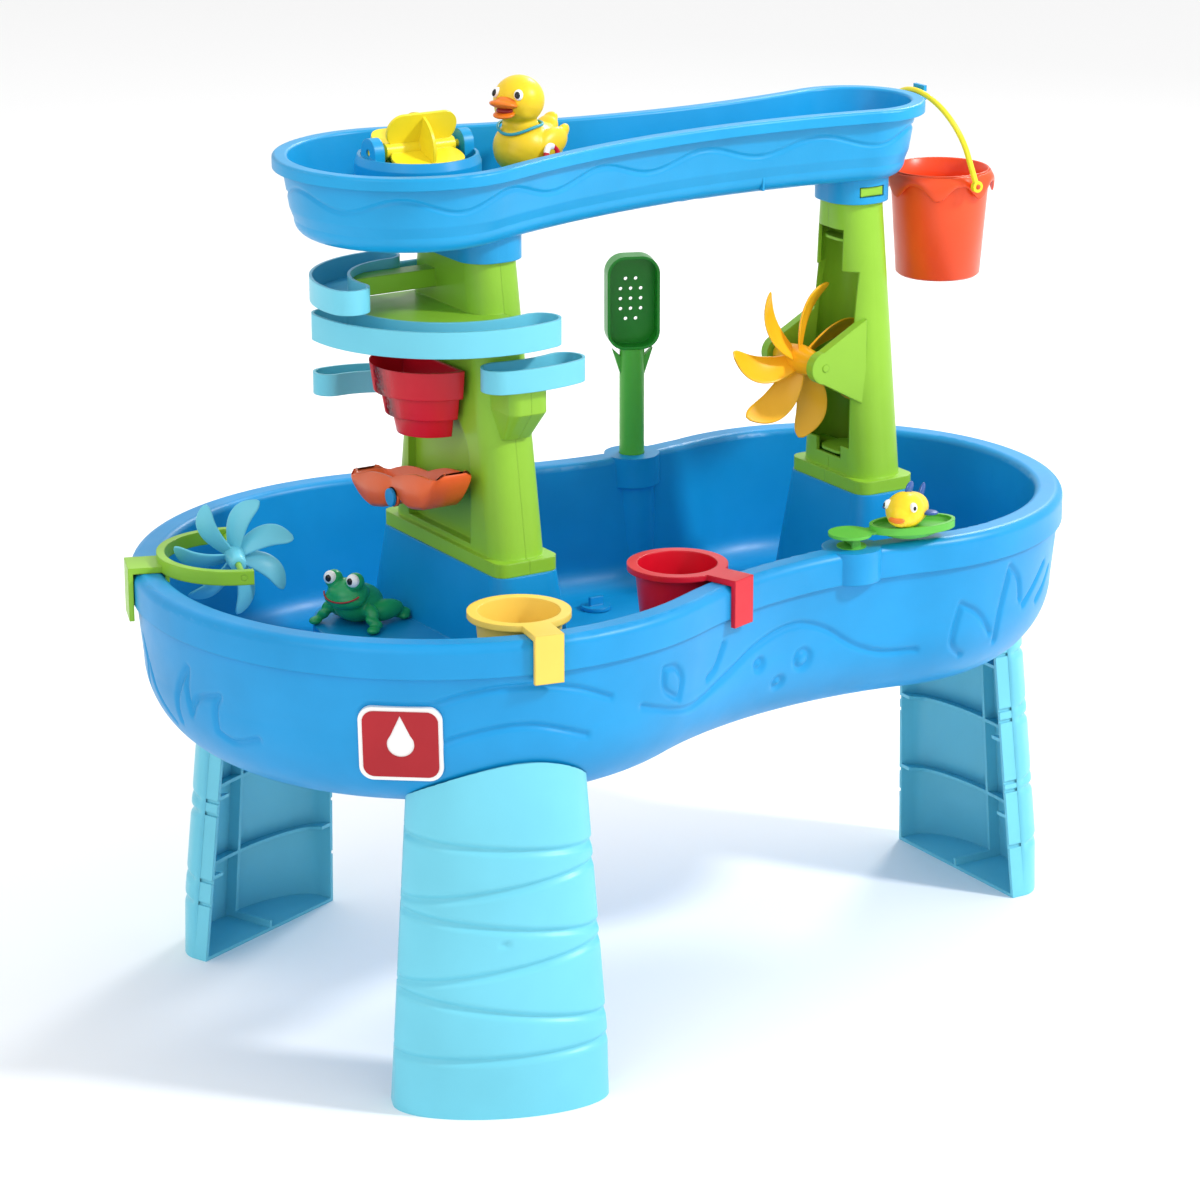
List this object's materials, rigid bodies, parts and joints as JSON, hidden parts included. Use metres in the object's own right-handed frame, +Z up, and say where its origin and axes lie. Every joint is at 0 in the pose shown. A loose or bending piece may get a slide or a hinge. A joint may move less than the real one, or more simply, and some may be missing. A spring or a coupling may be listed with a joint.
{
  "type": "sand and water table",
  "caption": "Child's two-lobe water and sand table on moulded legs, with towers, an upper tray, paddle wheels, chutes, cups, a bucket, a scoop and bath toys.",
  "frame": {"origin": "floor level, under the middle of the basin's length and width", "axes": "+X along the table from the big lobe to the small lobe, -Y towards the front, +Z up"},
  "size_m": [1.03, 0.6346, 0.9494],
  "materials": {
    "basin_blue": "moulded",
    "tray_blue": "moulded",
    "aqua": "moulded",
    "lime": "moulded",
    "amber": "moulded",
    "wheel_yellow": "moulded",
    "cup_yellow": "moulded",
    "red": "moulded",
    "orange": "moulded",
    "bucket_orange": "moulded",
    "scoop_green": "moulded",
    "stem_green": "moulded",
    "frog_green": "moulded",
    "toy_yellow": "moulded",
    "bill_orange": "moulded",
    "teal": "moulded",
    "fin_blue": "moulded",
    "white": "moulded",
    "badge_red": "moulded",
    "steel": "brushed"
  },
  "bodies": {
    "table": {"basin": "basin_blue", "leg_front": "aqua", "leg_back": "aqua", "leg_end": "aqua", "leg_screws": "steel", "tower_left_outer": "lime", "tower_left_inner": "lime", "tower_right_front": "lime", "tower_right_back": "lime", "tower_screws": "steel", "tray": "tray_blue", "snap_tabs": "lime", "wheel_housing": "tray_blue", "tower_spinner_pin": "lime", "seesaw_peg": "basin_blue", "launcher_base": "stem_green", "launcher_pin": "stem_green", "badge_plate": "white", "badge_face": "badge_red"},
    "wheel": {"paddle_wheel": "wheel_yellow"},
    "tower_rotor": {"tower_spinner": "amber"},
    "clamp": {"rim_clamp": "lime", "rim_spinner_pin": "lime"},
    "rim_rotor": {"rim_spinner": "aqua"},
    "long_chute": {"chute_long": "aqua"},
    "top_chute": {"chute_top": "aqua"},
    "small_chute": {"chute_small": "aqua"},
    "front_chute": {"chute_front": "aqua"},
    "tier": {"tier_cup": "red"},
    "tipper": {"seesaw": "orange"},
    "yellow_cup": {"cup_yellow": "cup_yellow"},
    "red_cup": {"cup_red": "red"},
    "handle": {"bail": "wheel_yellow"},
    "pail": {"bucket": "bucket_orange"},
    "scoop": {"scoop_handle": "stem_green", "scoop_head": "scoop_green"},
    "lever": {"launcher_lever": "stem_green"},
    "fish": {"fish_body": "toy_yellow", "fish_fins": "fin_blue"},
    "frog": {"frog_body": "frog_green", "frog_eyes": "white"},
    "duck": {"duck_body": "toy_yellow", "duck_bill": "bill_orange", "duck_scarf": "teal"},
    "plug": {"drain_plug": "basin_blue"}
  },
  "joints": [
    {"name": "wheel_turn", "type": "hinge", "parent": "table", "child": "wheel", "pos_m": [-0.226, 0, 0.887], "axis": [1, 0, 0], "continuous": true},
    {"name": "tower_rotor_turn", "type": "hinge", "parent": "table", "child": "tower_rotor", "pos_m": [0.227, 0, 0.615], "axis": [0, 1, 0], "continuous": true},
    {"name": "clamp_lift", "type": "slide", "parent": "table", "child": "clamp", "axis": [0, 0, 1], "range_m": [0, 0.08]},
    {"name": "rim_rotor_turn", "type": "hinge", "parent": "clamp", "child": "rim_rotor", "pos_m": [-0.40064, 0.07011, 0.4844], "axis": [-0.342, -0.9397, 0], "continuous": true},
    {"name": "long_chute_pull", "type": "slide", "parent": "table", "child": "long_chute", "axis": [-1, 0, 0], "range_m": [0, 0.05]},
    {"name": "top_chute_pull", "type": "slide", "parent": "table", "child": "top_chute", "axis": [-1, 0, 0], "range_m": [0, 0.05]},
    {"name": "small_chute_pull", "type": "slide", "parent": "table", "child": "small_chute", "axis": [-1, 0, 0], "range_m": [0, 0.05]},
    {"name": "front_chute_pull", "type": "slide", "parent": "table", "child": "front_chute", "axis": [0, -1, 0], "range_m": [0, 0.05]},
    {"name": "tier_cup_pull", "type": "slide", "parent": "table", "child": "tier", "axis": [-1, 0, 0], "range_m": [0, 0.05]},
    {"name": "seesaw_tip", "type": "hinge", "parent": "table", "child": "tipper", "pos_m": [-0.235, 0.005, 0.539], "axis": [1, 0, 0], "range_deg": [0, 23.4]},
    {"name": "yellow_cup_lift", "type": "slide", "parent": "table", "child": "yellow_cup", "axis": [0, 0, 1], "range_m": [0, 0.1]},
    {"name": "red_cup_lift", "type": "slide", "parent": "table", "child": "red_cup", "axis": [0, 0, 1], "range_m": [0, 0.1]},
    {"name": "bail_lift", "type": "slide", "parent": "table", "child": "handle", "axis": [0, 0, 1], "range_m": [0, 0.02]},
    {"name": "bucket_swing", "type": "hinge", "parent": "handle", "child": "pail", "pos_m": [0.402, 0, 0.79], "axis": [0, -1, 0], "range_deg": [-12, 60]},
    {"name": "scoop_lift", "type": "slide", "parent": "table", "child": "scoop", "axis": [0, 0, 1], "range_m": [0, 0.12]},
    {"name": "launcher_press", "type": "hinge", "parent": "table", "child": "lever", "pos_m": [0.15, -0.206, 0.483], "axis": [-0.2079, -0.9781, 0], "range_deg": [0, 8]},
    {"name": "fish_lift", "type": "slide", "parent": "lever", "child": "fish", "axis": [0, 0, 1], "range_m": [0, 0.05]},
    {"name": "frog_lift", "type": "slide", "parent": "table", "child": "frog", "axis": [0, 0, 1], "range_m": [0, 0.06]},
    {"name": "duck_lift", "type": "slide", "parent": "table", "child": "duck", "axis": [0, 0, 1], "range_m": [0, 0.08]},
    {"name": "plug_lift", "type": "slide", "parent": "table", "child": "plug", "axis": [0, 0, 1], "range_m": [0, 0.06]}
  ]
}
